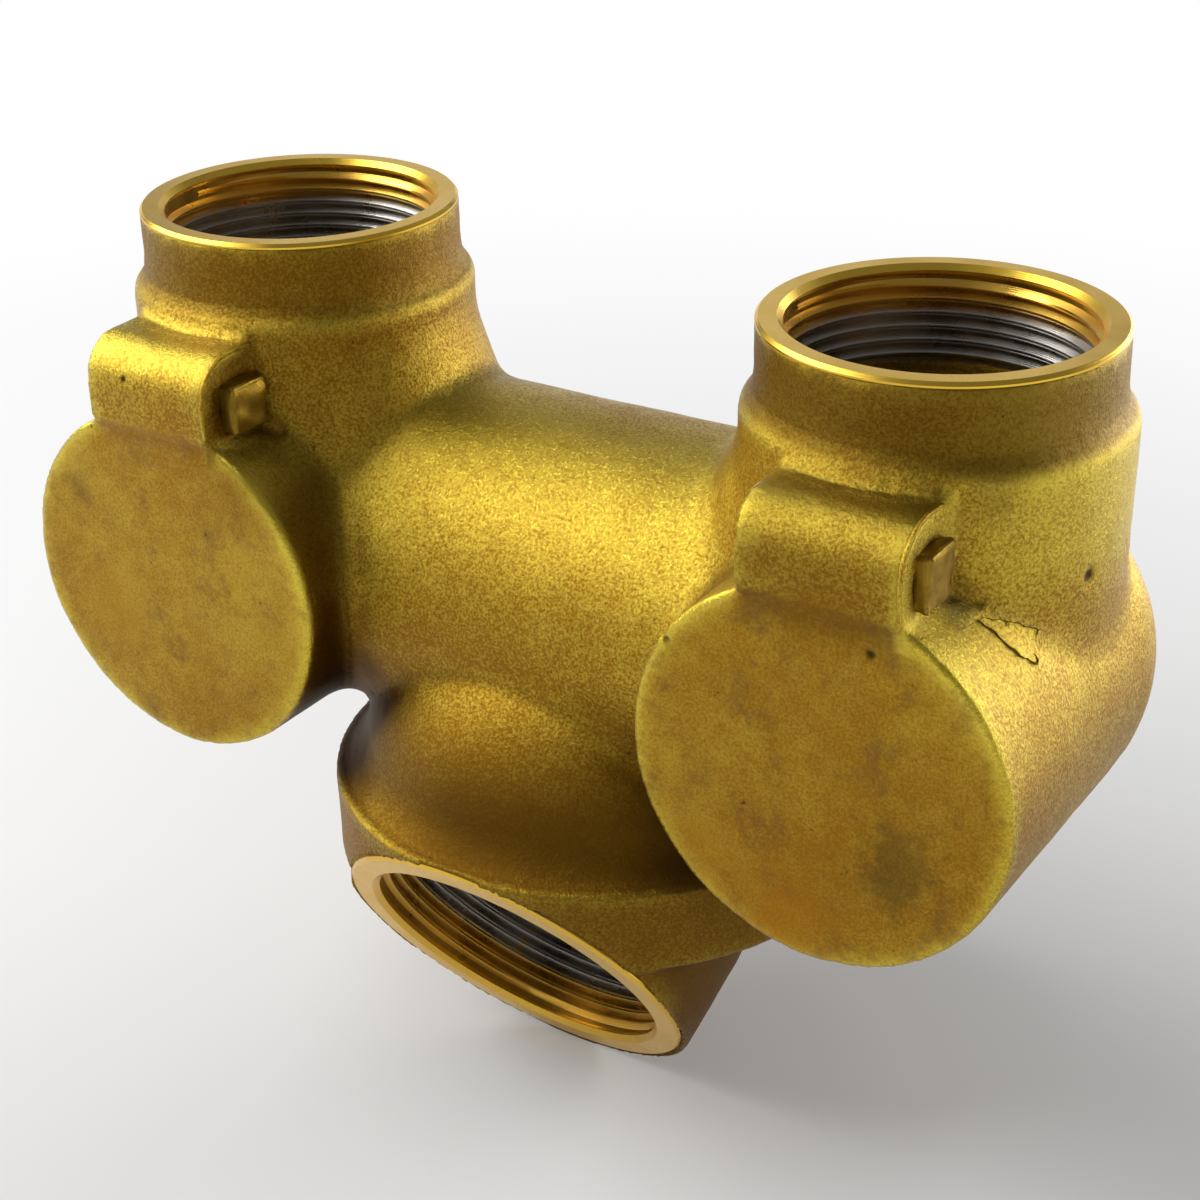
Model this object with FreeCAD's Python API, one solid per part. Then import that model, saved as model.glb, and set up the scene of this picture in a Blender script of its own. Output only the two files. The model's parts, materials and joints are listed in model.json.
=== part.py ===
import FreeCAD, Part
import os
from math import sin, cos, tan, radians
from FreeCAD import Vector

# Two-way clappered inlet body: two upright inlets, a hanging clapper under each, one slanted outlet.
# Frame: origin at the centre of the outlet's mouth, +Z up along the inlets, +X from left to right inlet.
# All lengths are millimetres and all angles degrees.

# Inlets, each a little inboard of the chamber under it
inlet_inboard = 2.5
inlet_height = 92.7
inlet_collar_d = 87.0
inlet_collar_h = 18.5
inlet_thread_d = 73.2
inlet_thread_length = 26.0
inlet_mouth_chamfer = 1.6
rim_round = 0.8

# Necks under the inlets, and the slanted branches that lead them into the crossover
neck_d = 94.4
neck_wall = 5.0
shoulder_h = 6.0
shoulder_bow = 1.3
branch_d = 86.0
branch_tilt = 23.0
branch_below_shoulder = 3.5

# Clapper chambers with a round pocket cover at the front
chamber_spacing = 198.0
chamber_d = 98.0
chamber_wall = 5.5
chamber_front = 63.2
chamber_back = 57.0
chamber_back_round = 40.0
cover_edge_round = 1.5

# Crossover between the two chambers
crossover_d = 96.4
crossover_wall = 6.0

# Outlet: a bell under the crossover, an upright base ring and a slanted hub
outlet_tilt = 58.0
outlet_reach = 56.0
outlet_drop = 67.5
base_ring_d = 150.5
base_ring_above = 15.0
base_ring_below = 9.5
base_edge_round = 1.2
bell_wall = 7.5
bell_top_d = 89.0
bell_top_below_axis = 8.0
bell_waist_d = 131.0
bell_dome_bow = 3.2
bell_foot_ledge = 1.5
flare_h = 11.5
flare_bow = 2.4
hub_d = 106.5
hub_draft = 4.0
hub_draft_length = 28.0
hub_wall = 7.5
hub_edge_round = 1.0
outlet_thread_d = 85.2
outlet_thread_length = 32.0
outlet_mouth_chamfer = 1.7

# Form of the pipe threads, drawn as level grooves
thread_pitch = 3.6
thread_crest = 0.9
thread_depth = 1.5

# Hinge bosses on the front of the chambers
hinge_forward = 51.0
hinge_below_rim = 39.5
boss_length = 41.0
boss_top = 14.5
boss_front = 14.0
boss_bottom = 9.0
boss_round = 12.0
boss_lip_round = 2.0
lug_pocket_length = 27.0
lug_pocket_wall = 5.0
lug_pocket_drop = 24.5

# Seats, clappers and the pieces on them
seat_below_rim = 35.0
seat_bore_d = 61.0
seat_lead_in = 3.0
clapper_d = 69.0
clapper_plate = 5.5
clapper_arm_d = 16.0
clapper_arm_length = 26.0
clapper_arm_top = 2.0
facing_d = 67.0
facing_thickness = 3.2
washer_d = 45.0
washer_thickness = 2.5
stud_d = 9.5
stud_above_nut = 2.0
nut_flats = 16.0
nut_h = 7.0
hinge_pin_d = 8.0
pin_end_depth = 5.0
plug_d = 13.0
plug_depth = 7.0
plug_head_flats = 14.5
plug_head_h = 5.0
plug_head_round = 1.5

# Clearances
seat_gap = 0.3
pin_fit = 0.03
running_fit = 0.05
plug_fit = 0.02
plug_head_gap = 0.1
cut_overrun = 5.0

# Places that follow from the sizes above
inlet_spacing = chamber_spacing - 2 * inlet_inboard
outlet_dir = Vector(0, -sin(radians(outlet_tilt)), -cos(radians(outlet_tilt)))
elbow = outlet_dir * -outlet_reach
body_y = elbow.y
chamber_z = elbow.z + outlet_drop
rim_z = chamber_z + inlet_height
seat_z = rim_z - seat_below_rim
hinge_y = body_y - hinge_forward
hinge_z = rim_z - hinge_below_rim
cover_y = body_y - chamber_front
base_top_z = elbow.z + base_ring_above
base_bottom_z = elbow.z - base_ring_below

# Levels of the shut clapper, from the seat down
facing_z = seat_z - seat_gap - facing_thickness
plate_z = facing_z - clapper_plate
washer_z = facing_z + facing_thickness
nut_z = washer_z + washer_thickness
stud_top_z = nut_z + nut_h + stud_above_nut

X_AXIS = Vector(1, 0, 0)
Y_AXIS = Vector(0, 1, 0)
Z_AXIS = Vector(0, 0, 1)


def line(a, b):
    return Part.LineSegment(a, b).toShape()


def arc(a, middle, b):
    return Part.Arc(a, middle, b).toShape()


def round_corner(a, b, centre, radius, towards):
    """Round corner from a to b about its centre, bulging in the given direction."""
    return arc(a, centre + towards.normalize() * radius, b)


def bowed(a, b, bow):
    """Arc from a to b in an upright profile, standing off its chord by bow on the outer, upper side."""
    chord = b - a
    outward = Vector(-chord.z, 0, chord.x).normalize()
    return arc(a, (a + b) * 0.5 + outward * bow, b)


def turned(edges, base, axis):
    """Solid of revolution from a closed chain of edges."""
    face = Part.Face(Part.Wire(edges))
    solid = face.revolve(base, axis, 360)
    return solid if solid.Volume > 0 else solid.reversed()


def upright_cylinder(diameter, bottom, top, x):
    return Part.makeCylinder(diameter / 2, top - bottom, Vector(x, body_y, bottom), Z_AXIS)


def fused(shapes):
    return shapes[0].fuse(shapes[1:]).removeSplitter()


def hexagon_prism(flats, height, base, axis):
    """Six-sided prism by its size across flats, along the given axis."""
    radius = flats / 2 / cos(radians(30))
    corners = [Vector(radius * cos(radians(60 * i)), radius * sin(radians(60 * i)), 0) for i in range(7)]
    prism = Part.Face(Part.makePolygon(corners)).extrude(Vector(0, 0, height))
    prism.Placement = FreeCAD.Placement(base, FreeCAD.Rotation(Z_AXIS, axis))
    return prism


def inlet_stem(x):
    """Turned outside of one inlet: collar, rounded shoulder and neck down to the chamber's axis."""
    collar = inlet_collar_d / 2
    neck = neck_d / 2
    side_end = rim_z - inlet_collar_h
    shoulder_z = side_end - shoulder_h

    def at(radius, z):
        return Vector(x + radius, body_y, z)

    edges = [
        line(at(0, rim_z), at(collar - rim_round, rim_z)),
        line(at(collar - rim_round, rim_z), at(collar, rim_z - rim_round)),
        line(at(collar, rim_z - rim_round), at(collar, side_end)),
        bowed(at(collar, side_end), at(neck, shoulder_z), shoulder_bow),
        line(at(neck, shoulder_z), at(neck, chamber_z)),
        line(at(neck, chamber_z), at(0, chamber_z)),
        line(at(0, chamber_z), at(0, rim_z)),
    ]
    return turned(edges, Vector(x, body_y, 0), Z_AXIS)


def branch(x):
    """Slanted cylinder that widens the neck towards the crossover on its inner side."""
    inward = -1 if x > 0 else 1
    tilt = radians(branch_tilt)
    direction = Vector(inward * sin(tilt), 0, -cos(tilt))
    top_z = rim_z - inlet_collar_h - shoulder_h - branch_below_shoulder
    length = (top_z - chamber_z) / cos(tilt)
    return Part.makeCylinder(branch_d / 2, length, Vector(x, body_y, top_z), direction)


def chamber(x, inset):
    """Clapper chamber about its front-to-back axis, drawn smaller by a wall when inset."""
    radius = chamber_d / 2 - inset
    front = cover_y + inset
    back = body_y + chamber_back - inset
    back_round = chamber_back_round - inset

    def at(r, y):
        return Vector(x, y, chamber_z + r)

    edge_in = at(radius - cover_edge_round, front)
    edge_out = at(radius, front + cover_edge_round)
    back_out = at(radius, back - back_round)
    back_in = at(radius - back_round, back)
    edge_centre = at(radius - cover_edge_round, front + cover_edge_round)
    back_centre = at(radius - back_round, back - back_round)
    edges = [
        line(at(0, front), edge_in),
        round_corner(edge_in, edge_out, edge_centre, cover_edge_round, Vector(0, -1, 1)),
        line(edge_out, back_out),
        round_corner(back_out, back_in, back_centre, back_round, Vector(0, 1, 1)),
        line(back_in, at(0, back)),
        line(at(0, back), at(0, front)),
    ]
    return turned(edges, Vector(x, body_y, chamber_z), Y_AXIS)


def hinge_boss(x):
    """Round-fronted block that carries the hinge pin, with its top running back into the neck."""
    left = x - boss_length / 2
    top = hinge_z + boss_top
    bottom = hinge_z - boss_bottom
    front = hinge_y - boss_front
    rear = body_y - seat_bore_d / 2

    def at(y, z):
        return Vector(left, y, z)

    top_end = at(front + boss_round, top)
    front_start = at(front, top - boss_round)
    front_end = at(front, bottom + boss_lip_round)
    lip_end = at(front + boss_lip_round, bottom)
    top_centre = at(front + boss_round, top - boss_round)
    lip_centre = at(front + boss_lip_round, bottom + boss_lip_round)
    edges = [
        line(at(rear, top), top_end),
        round_corner(top_end, front_start, top_centre, boss_round, Vector(0, -1, 1)),
        line(front_start, front_end),
        round_corner(front_end, lip_end, lip_centre, boss_lip_round, Vector(0, -1, -1)),
        line(lip_end, at(rear, bottom)),
        line(at(rear, bottom), at(rear, top)),
    ]
    return Part.Face(Part.Wire(edges)).extrude(X_AXIS * boss_length)


def crossover(inset):
    """Tube between the chambers, drawn smaller by a wall when inset."""
    start = Vector(-chamber_spacing / 2, body_y, chamber_z)
    return Part.makeCylinder(crossover_d / 2 - inset, chamber_spacing, start, X_AXIS)


def bell(inset):
    """Bell under the crossover: a dome that flares to the base ring, drawn smaller by a wall when inset."""
    top = bell_top_d / 2 - inset
    waist = bell_waist_d / 2 - inset
    foot = base_ring_d / 2 - bell_foot_ledge - inset
    top_z = chamber_z - bell_top_below_axis
    waist_z = base_top_z + flare_h

    def at(radius, z):
        return Vector(radius, body_y, z)

    edges = [
        line(at(0, top_z), at(top, top_z)),
        bowed(at(top, top_z), at(waist, waist_z), bell_dome_bow),
        bowed(at(waist, waist_z), at(foot, base_top_z), -flare_bow),
        line(at(foot, base_top_z), at(foot, elbow.z)),
        line(at(foot, elbow.z), at(0, elbow.z)),
        line(at(0, elbow.z), at(0, top_z)),
    ]
    return turned(edges, Vector(0, body_y, 0), Z_AXIS)


def base_ring():
    """Upright ring at the foot of the bell, with its lower edge rounded."""
    radius = base_ring_d / 2

    def at(r, z):
        return Vector(r, body_y, z)

    edge_out = at(radius, base_bottom_z + base_edge_round)
    edge_in = at(radius - base_edge_round, base_bottom_z)
    edge_centre = at(radius - base_edge_round, base_bottom_z + base_edge_round)
    edges = [
        line(at(0, base_top_z), at(radius, base_top_z)),
        line(at(radius, base_top_z), edge_out),
        round_corner(edge_out, edge_in, edge_centre, base_edge_round, Vector(1, 0, -1)),
        line(edge_in, at(0, base_bottom_z)),
        line(at(0, base_bottom_z), at(0, base_top_z)),
    ]
    return turned(edges, Vector(0, body_y, 0), Z_AXIS)


def under_ring(shape, inset):
    """The part of a shape below the elbow's level that stays inside the base ring."""
    depth = outlet_reach + hub_d
    return shape.common(upright_cylinder(base_ring_d - 2 * inset, elbow.z - depth, elbow.z, 0))


def hub():
    """Slanted outlet hub, drafted, running back until it ends under the rear of the base ring."""
    mouth = hub_d / 2
    rear = mouth + tan(radians(hub_draft)) * hub_draft_length
    inward = outlet_dir * -1
    edge = Part.makeCone(mouth - hub_edge_round, mouth, hub_edge_round, Vector(0, 0, 0), inward)
    drafted_start = inward * hub_edge_round
    drafted = Part.makeCone(mouth, rear, hub_draft_length, drafted_start, inward)
    back_start = drafted_start + inward * hub_draft_length
    back = Part.makeCylinder(rear, outlet_reach + base_ring_d, back_start, inward)
    return under_ring(fused([edge, drafted, back]), base_edge_round)


def mouth_plane_cut():
    """Block in front of the outlet's mouth, which faces the hub and the base ring off flat."""
    size = base_ring_d * 2
    block = Part.makeBox(size, size, size, Vector(-size / 2, -size / 2, 0))
    block.Placement = FreeCAD.Placement(Vector(0, 0, 0), FreeCAD.Rotation(Z_AXIS, outlet_dir))
    return block


def thread_profile(diameter, chamfer, length):
    """Radius and depth of a threaded mouth's wall: its chamfer, then V grooves between the crests."""
    crest = diameter / 2
    profile = [(crest + chamfer, 0.0), (crest, chamfer)]
    turns = int((length - chamfer) / thread_pitch)
    for turn in range(turns):
        start = chamfer + thread_crest + turn * thread_pitch
        middle = start + (thread_pitch - thread_crest) / 2
        end = chamfer + (turn + 1) * thread_pitch
        profile += [(crest, start), (crest + thread_depth, middle), (crest, end)]
    return profile


def bored(profile, base, inward):
    """Solid that cuts a bore: a wall of radii and depths turned about an axis that runs inward from its mouth."""
    points = [Vector(0, 0, -cut_overrun), Vector(profile[0][0], 0, -cut_overrun)]
    points += [Vector(radius, 0, depth) for radius, depth in profile]
    points += [Vector(0, 0, profile[-1][1]), points[0]]
    edges = [line(a, b) for a, b in zip(points, points[1:])]
    solid = turned(edges, Vector(0, 0, 0), Z_AXIS)
    solid.Placement = FreeCAD.Placement(base, FreeCAD.Rotation(Z_AXIS, inward))
    return solid


def inlet_bore(x):
    """Threaded bore with its mouth chamfer, then the seat bore down to the seat."""
    seat = seat_bore_d / 2
    profile = thread_profile(inlet_thread_d, inlet_mouth_chamfer, inlet_thread_length)
    profile += [
        (inlet_thread_d / 2, inlet_thread_length),
        (seat, inlet_thread_length + seat_lead_in),
        (seat, seat_below_rim + cut_overrun),
    ]
    return bored(profile, Vector(x, body_y, rim_z), Z_AXIS * -1)


def outlet_bore():
    """Threaded bore of the outlet with its mouth chamfer, from the mouth to the elbow."""
    profile = thread_profile(outlet_thread_d, outlet_mouth_chamfer, outlet_thread_length)
    profile.append((outlet_thread_d / 2, outlet_reach))
    return bored(profile, Vector(0, 0, 0), outlet_dir * -1)


def heel_hollow():
    """Inside of the hub behind the thread, kept a wall away from the hub and the base ring."""
    start = outlet_dir * -outlet_thread_length
    tube = Part.makeCylinder(hub_d / 2 - hub_wall, outlet_reach + base_ring_d, start, outlet_dir * -1)
    return under_ring(tube, hub_wall)


def lug_pocket(x):
    """Space inside the hinge boss for the clapper's lug, open towards the neck and the chamber."""
    radius = boss_front - lug_pocket_wall
    left = x - lug_pocket_length / 2
    low = hinge_z - lug_pocket_drop
    front = max(hinge_y - radius, cover_y + chamber_wall)
    rear = body_y - seat_bore_d / 2
    round_end = Part.makeCylinder(radius, lug_pocket_length, Vector(left, hinge_y, hinge_z), X_AXIS)
    to_neck = Part.makeBox(lug_pocket_length, rear - hinge_y, seat_z - low, Vector(left, hinge_y, low))
    to_pocket = Part.makeBox(lug_pocket_length, hinge_y - front, hinge_z - low, Vector(left, front, low))
    return fused([round_end, to_neck, to_pocket])


def pin_holes(x):
    """Hole for the hinge pin through both cheeks of a boss, the plug's hole at its right end and room for its head."""
    right = x + boss_length / 2
    half = plug_head_flats / 2 + plug_head_gap
    blind = Vector(x - lug_pocket_length / 2 - pin_end_depth, hinge_y, hinge_z)
    plug_start = Vector(right - plug_depth, hinge_y, hinge_z)
    pin_hole = Part.makeCylinder(hinge_pin_d / 2 + pin_fit, right - blind.x, blind, X_AXIS)
    plug_hole = Part.makeCylinder(plug_d / 2 + plug_fit, plug_depth, plug_start, X_AXIS)
    room_corner = Vector(right, hinge_y - half, hinge_z - half)
    head_room = Part.makeBox(plug_head_h + cut_overrun, 2 * half, 2 * half, room_corner)
    return [pin_hole, plug_hole, head_room]


def body_casting():
    """The whole casting: outside, less the connected inside, the bores and the pin holes."""
    outside = [crossover(0), bell(0), base_ring(), hub()]
    inside = [crossover(crossover_wall), bell(bell_wall), outlet_bore(), heel_hollow()]
    for side in (-1, 1):
        x = side * inlet_spacing / 2
        pocket_x = side * chamber_spacing / 2
        under_seat = upright_cylinder(neck_d - 2 * neck_wall, chamber_z, seat_z, x)
        outside += [inlet_stem(x), branch(x), chamber(pocket_x, 0), hinge_boss(pocket_x)]
        inside += [inlet_bore(x), under_seat, chamber(pocket_x, chamber_wall), lug_pocket(pocket_x)]
        inside += pin_holes(pocket_x)
    shell = fused(outside).cut(mouth_plane_cut())
    return shell.cut(fused(inside)).removeSplitter()


def clapper(x, pocket_x):
    """Clapper in its shut place: disc with a stud, and an arm to the hinge lug."""
    disc = upright_cylinder(clapper_d, plate_z, facing_z, x)
    stud = upright_cylinder(stud_d, facing_z, stud_top_z, x)
    left = pocket_x - clapper_arm_length / 2
    hinge = Vector(left, hinge_y, hinge_z)
    lug = Part.makeCylinder(clapper_arm_d / 2, clapper_arm_length, hinge, X_AXIS)
    arm_h = hinge_z + clapper_arm_top - plate_z
    arm_reach = hinge_forward - facing_d / 2 - running_fit
    arm = Part.makeBox(clapper_arm_length, arm_reach, arm_h, Vector(left, hinge_y, plate_z))
    eye = Part.makeCylinder(hinge_pin_d / 2 + running_fit, clapper_arm_length, hinge, X_AXIS)
    return fused([disc, stud, lug, arm]).cut(eye)


def stud_hole(bottom, top, x):
    return upright_cylinder(stud_d + 2 * running_fit, bottom, top, x)


def facing(x):
    disc = upright_cylinder(facing_d, facing_z, washer_z, x)
    return disc.cut(stud_hole(facing_z, washer_z, x))


def facing_washer(x):
    disc = upright_cylinder(washer_d, washer_z, nut_z, x)
    return disc.cut(stud_hole(washer_z, nut_z, x))


def facing_nut(x):
    nut = hexagon_prism(nut_flats, nut_h, Vector(x, body_y, nut_z), Z_AXIS)
    return nut.cut(stud_hole(nut_z, nut_z + nut_h, x))


def hung(shape):
    """Turns a piece of the clapper from its shut place to where it hangs open."""
    copy = shape.copy()
    copy.rotate(Vector(0, hinge_y, hinge_z), X_AXIS, -90)
    return copy


def hinge_pin(x):
    blind = Vector(x - lug_pocket_length / 2 - pin_end_depth, hinge_y, hinge_z)
    length = x + boss_length / 2 - plug_depth - blind.x
    return Part.makeCylinder(hinge_pin_d / 2, length, blind, X_AXIS)


def pin_plug(x):
    """Plug that closes the pin hole: a round shank and a square head with rounded corners."""
    right = x + boss_length / 2
    shank_start = Vector(right - plug_depth, hinge_y, hinge_z)
    shank = Part.makeCylinder(plug_d / 2, plug_depth, shank_start, X_AXIS)
    half = plug_head_flats / 2
    corner = Vector(right, hinge_y - half, hinge_z - half)
    head = Part.makeBox(plug_head_h, plug_head_flats, plug_head_flats, corner)
    long_edges = [edge for edge in head.Edges if abs(edge.tangentAt(edge.FirstParameter).x) > 0.5]
    return fused([shank, head.makeFillet(plug_head_round, long_edges)])


os.makedirs("parts", exist_ok=True)
pieces = {"body_casting": body_casting()}
for name, side in (("left", -1), ("right", 1)):
    inlet_x = side * inlet_spacing / 2
    boss_x = side * chamber_spacing / 2
    pieces[name + "_clapper"] = hung(clapper(inlet_x, boss_x))
    pieces[name + "_clapper_facing"] = hung(facing(inlet_x))
    pieces[name + "_facing_washer"] = hung(facing_washer(inlet_x))
    pieces[name + "_facing_nut"] = hung(facing_nut(inlet_x))
    pieces[name + "_hinge_pin"] = hinge_pin(boss_x)
    pieces[name + "_pin_plug"] = pin_plug(boss_x)
for name, shape in pieces.items():
    shape.exportStep("parts/" + name + ".step")
    print(name, "solids", len(shape.Solids), "valid", shape.isValid(), "volume", round(shape.Volume))
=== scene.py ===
import json
import math

import bmesh
import bpy
from bpy.props import FloatProperty, FloatVectorProperty, IntProperty, PointerProperty
from mathutils import Matrix, Vector, noise
from mathutils.bvhtree import BVHTree


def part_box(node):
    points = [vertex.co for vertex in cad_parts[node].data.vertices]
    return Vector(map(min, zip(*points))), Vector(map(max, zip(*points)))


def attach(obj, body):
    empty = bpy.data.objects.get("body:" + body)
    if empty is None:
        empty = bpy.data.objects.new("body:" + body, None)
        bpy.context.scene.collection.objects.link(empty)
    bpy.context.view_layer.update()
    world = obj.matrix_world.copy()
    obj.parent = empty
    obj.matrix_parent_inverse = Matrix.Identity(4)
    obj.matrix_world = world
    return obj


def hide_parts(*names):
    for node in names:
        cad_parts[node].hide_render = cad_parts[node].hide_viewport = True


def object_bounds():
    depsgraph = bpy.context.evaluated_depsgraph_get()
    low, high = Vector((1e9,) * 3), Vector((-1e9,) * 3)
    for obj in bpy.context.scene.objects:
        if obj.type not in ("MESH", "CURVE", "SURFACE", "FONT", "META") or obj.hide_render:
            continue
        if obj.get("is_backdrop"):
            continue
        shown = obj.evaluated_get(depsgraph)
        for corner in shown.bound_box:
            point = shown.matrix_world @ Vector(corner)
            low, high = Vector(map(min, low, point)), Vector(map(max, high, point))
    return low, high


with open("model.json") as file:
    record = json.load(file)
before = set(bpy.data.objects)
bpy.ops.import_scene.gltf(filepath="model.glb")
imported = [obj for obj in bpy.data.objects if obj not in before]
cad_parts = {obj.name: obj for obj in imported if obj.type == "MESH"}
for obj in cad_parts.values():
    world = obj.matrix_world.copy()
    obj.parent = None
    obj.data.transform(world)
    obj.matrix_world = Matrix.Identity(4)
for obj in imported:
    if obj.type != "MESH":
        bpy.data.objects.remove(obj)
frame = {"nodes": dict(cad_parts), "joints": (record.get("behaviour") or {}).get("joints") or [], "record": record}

bl_info = {
    "name": "Siamese inlet looks",
    "version": (1, 0, 0),
    "blender": (4, 5, 0),
    "location": "3D View > Sidebar > Siamese",
    "description": "Cast skin, machined mouths, plugs, clappers and stage of a siamese hose inlet body",
    "category": "Object",
}

MOUNTS = {mount["name"]: mount for mount in frame["record"]["mounts"]}
CAST_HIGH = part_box("body_casting")[1]
HINGES = {joint["child"]: Vector(joint["pos_m"]) for joint in frame["joints"]}

# Main places on the casting: the drums' axes, the collars' foot, the bell's axis and the height of the middle
DRUM_X = HINGES["right_flap"].x
DRUM_Z = 0.0972
COLLAR_Z = CAST_HIGH.z - 0.0215
BELL_Y = 0.0475
MIDDLE_Z = 0.08

# A hinge boss: its right end's distance from the hinge's middle, and its end face's reach from the pin
BOSS_END = 0.0205
BOSS_R = 0.019

# The mouths, in the order in which they are built
MOUTHS = ("left_inlet", "right_inlet", "outlet")

# Stains on the casting: place, radius, strength and colour
CAST_STAINS = (
    ((0.1225, -0.0157, 0.0835), 0.014, 0.55, (0.10, 0.066, 0.012)),
    ((0.1185, -0.0157, 0.0745), 0.010, 0.45, (0.10, 0.066, 0.012)),
    ((0.0920, -0.0157, 0.0560), 0.018, 0.50, (0.42, 0.17, 0.008)),
    ((0.0700, -0.0157, 0.0690), 0.016, 0.40, (0.38, 0.17, 0.010)),
    ((-0.1294, -0.0157, 0.1184), 0.006, 0.50, (0.12, 0.066, 0.010)),
    ((-0.1210, -0.0157, 0.0840), 0.018, 0.35, (0.40, 0.20, 0.014)),
    ((0.1282, 0.0125, 0.1638), 0.009, 0.40, (0.14, 0.08, 0.012)),
    ((-0.0350, 0.0020, 0.1330), 0.020, 0.25, (0.16, 0.09, 0.010)),
    ((0.1245, 0.0030, 0.1410), 0.007, 0.60, (0.15, 0.11, 0.045)),
)

# Sand pits in the casting: place, radius and depth
CAST_PITS = (
    ((0.0595, -0.0157, 0.1233), 0.0016, 0.0007),
    ((0.1121, -0.0157, 0.1339), 0.0018, 0.0007),
    ((0.1420, 0.0349, 0.1395), 0.0026, 0.0006),
    ((-0.1240, -0.0100, 0.1640), 0.0014, 0.0004),
    ((-0.1060, -0.0170, 0.1560), 0.0013, 0.0004),
)

# Outline of the lapped flake of metal on the right drum, on the solid's surface
LAP_OUTLINE = (
    (0.1272, 0.0055, 0.1371), (0.1286, 0.0084, 0.1364), (0.1313, 0.0122, 0.1346), (0.1340, 0.0162, 0.1326),
    (0.1363, 0.0199, 0.1306), (0.1362, 0.0164, 0.1292), (0.1390, 0.0135, 0.1254), (0.1362, 0.0098, 0.1290),
    (0.1339, 0.0083, 0.1315), (0.1309, 0.0073, 0.1340))

# Seed of the noise that makes the flake's outline ragged, so that every run draws the same one
LAP_SEED = 7


def mouth_frame(name):
    """Matrix whose origin is the centre of a mouth's face and whose Z axis points out of it."""
    mount = MOUNTS[name]
    axis = Vector(mount["axis"])
    place = Vector(mount["pos_m"])
    if name == "outlet":
        centre = place - axis * place.dot(axis)
    else:
        centre = Vector((place.x, place.y, CAST_HIGH.z))
    turn = axis.to_track_quat("Z", "Y").to_matrix().to_4x4()
    return Matrix.Translation(centre) @ turn


class SIAMESE_PG_casting(bpy.types.PropertyGroup):
    """Skin of the sand casting."""
    voxel: FloatProperty(
        name="Skin step", description="Mesh step of the skin", default=0.00125, unit="LENGTH")
    quick_voxel: FloatProperty(
        name="Quick step", description="Mesh step of quick tries", default=0.0025, unit="LENGTH")
    fillet_rounds: IntProperty(
        name="Fillet rounds", description="How often creases are smoothed", default=55, min=0)
    collar_fill: FloatProperty(
        name="Collar fill", description="Most metal left in a collar's root", default=0.0005, unit="LENGTH")
    boss_fill: FloatProperty(
        name="Boss fill", description="Most metal left in a boss's root", default=0.0006, unit="LENGTH")
    wave: FloatProperty(
        name="Wave", description="Height of the long waves in the skin", default=0.00022, unit="LENGTH")
    ripple: FloatProperty(
        name="Ripple", description="Height of the short ripples", default=0.00009, unit="LENGTH")
    triangles: IntProperty(
        name="Triangles", description="Most triangles in the skin", default=192000, min=1000)
    brass: FloatVectorProperty(
        name="Brass", description="Clean cast brass", default=(0.68, 0.520, 0.058), subtype="COLOR")
    tarnish: FloatVectorProperty(
        name="Tarnish", description="Browned brass", default=(0.305, 0.139, 0.009), subtype="COLOR")
    # brown of grime together with painted shade on the bell, collars, shoulder, boss and flanks
    grime_and_shade: FloatVectorProperty(
        name="Grime", description="Brown metal of the bell and the collars", default=(0.13, 0.060, 0.005),
        subtype="COLOR")
    smear: FloatVectorProperty(
        name="Smear", description="Dull smears on the round covers", default=(0.19, 0.098, 0.022),
        subtype="COLOR")
    # dark colour of the grain's specks and the inside, and of the painted shade in creases, pits and sheltered
    # places
    dark_and_shade: FloatVectorProperty(
        name="Dark", description="Dark metal in creases and stains", default=(0.05, 0.026, 0.004),
        subtype="COLOR")
    grain: FloatProperty(
        name="Grain", description="Size of the sand grain", default=0.00078, unit="LENGTH")
    # reach of the rays that set the painted shade of sheltered skin
    occlusion_reach: FloatProperty(
        name="Shelter", description="How far off a wall still shelters the skin", default=0.09, unit="LENGTH")
    lap_height: FloatProperty(
        name="Lap height", description="How far the lapped flake stands up", default=0.0005, unit="LENGTH")
    # width of the ring round the flake that is painted as shadow
    lap_gap: FloatProperty(
        name="Lap gap", description="Half width of the dark gap round the flake", default=0.00028,
        unit="LENGTH")
    flash_height: FloatProperty(
        name="Flash height", description="How far the flash at a boss's end stands up", default=0.0007,
        unit="LENGTH")
    flash_width: FloatProperty(
        name="Flash width", description="Width of that flash", default=0.0016, unit="LENGTH")


class SIAMESE_PG_mouths(bpy.types.PropertyGroup):
    """Machined faces and threads of the inlets and the outlet."""
    inlet_face_r: FloatProperty(
        name="Inlet face", description="Outer radius of an inlet's face", default=0.0435, unit="LENGTH")
    outlet_face_r: FloatProperty(
        name="Outlet face", description="Outer radius of the outlet's face", default=0.0512, unit="LENGTH")
    face_depth: FloatProperty(
        name="Face depth", description="Depth of the turned face piece", default=0.0025, unit="LENGTH")
    edge: FloatProperty(
        name="Edge", description="Chamfer at a face's outer edge", default=0.0008, unit="LENGTH")
    chamfer: FloatProperty(
        name="Chamfer", description="Width of a mouth's chamfer", default=0.0017, unit="LENGTH")
    pitch: FloatProperty(name="Pitch", description="Pitch of the threads", default=0.0036, unit="LENGTH")
    thread_h: FloatProperty(
        name="Thread height", description="Height of a thread", default=0.0015, unit="LENGTH")
    wall: FloatProperty(
        name="Wall", description="Thickness of the turned bore's piece", default=0.0009, unit="LENGTH")
    facets: IntProperty(name="Facets", description="Steps round a mouth", default=128, min=16)
    gold: FloatVectorProperty(
        name="Turned brass", description="Turned brass", default=(0.78, 0.50, 0.060), subtype="COLOR")
    grey: FloatVectorProperty(
        name="Greyed thread", description="Grey film deep in a thread", default=(0.46, 0.44, 0.40),
        subtype="COLOR")


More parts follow.
